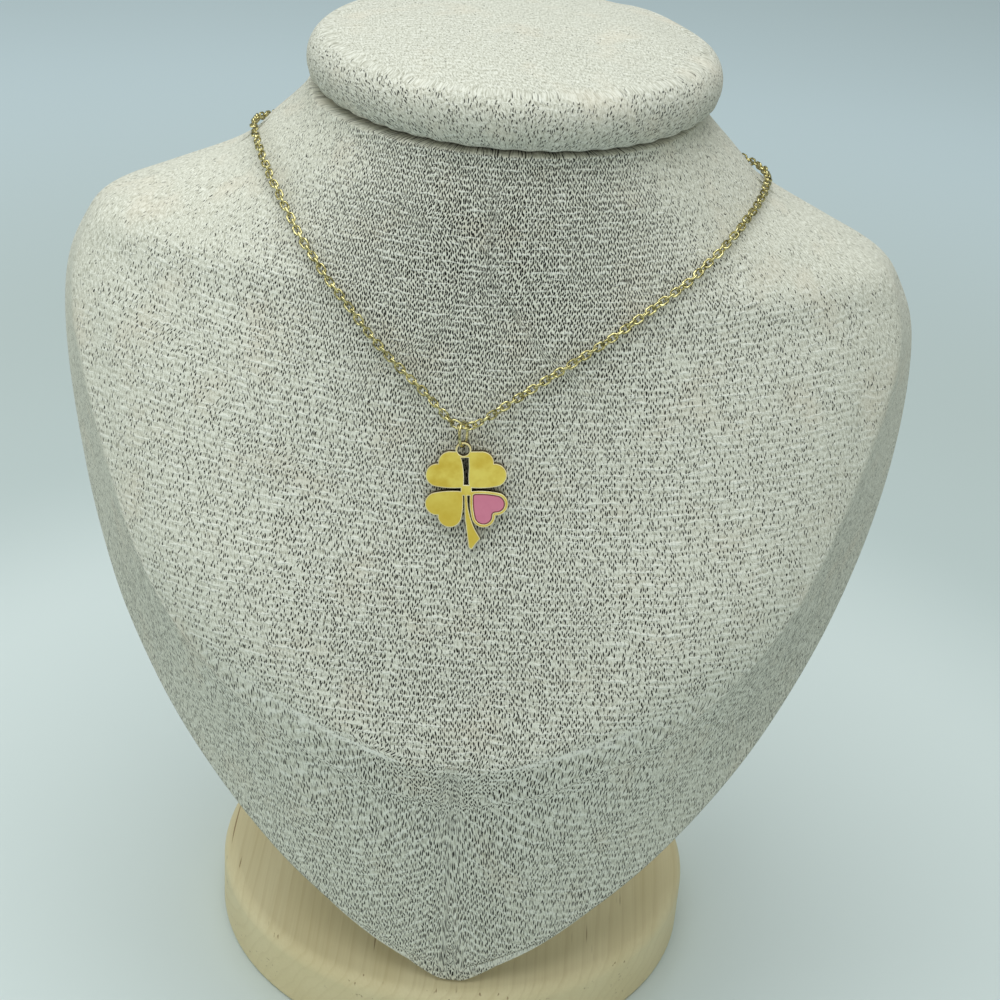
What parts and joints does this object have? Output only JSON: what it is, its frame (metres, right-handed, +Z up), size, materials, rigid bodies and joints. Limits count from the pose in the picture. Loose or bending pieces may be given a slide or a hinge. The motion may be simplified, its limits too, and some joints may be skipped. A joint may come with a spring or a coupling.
{
  "type": "clover pendant necklace on a neck bust",
  "caption": "Gold clover pendant with a pink enamel leaf on a cable chain, worn by a fabric neck bust that stands on a round wooden base.",
  "frame": {"origin": "centre of the underside of the round wooden base, where it stands on the table", "axes": "+Z up, -Y towards the front where the pendant hangs, +X to the right as the front is looked at"},
  "size_m": [0.2268, 0.1619, 0.2792],
  "materials": {
    "wood": "pale turned softwood, lightly sealed, fine straight grain",
    "post_wood": "plain round dowel",
    "fabric": "light grey knitted cloth stretched over the form, small open stitches",
    "cap_fabric": "the same knitted cloth over a padded cap",
    "gold": "polished pale gold plating",
    "chain_gold": "polished pale gold plating on fine wire",
    "enamel": "smooth glossy pink enamel"
  },
  "bodies": {
    "root": {"wooden_base": "wood", "support_post": "post_wood", "bust_form": "fabric", "neck_cap": "cap_fabric", "clover_plate": "gold", "enamel_heart": "enamel", "jump_ring": "gold", "chain_left": "chain_gold", "chain_right": "chain_gold", "clasp": "chain_gold"}
  },
  "joints": []
}
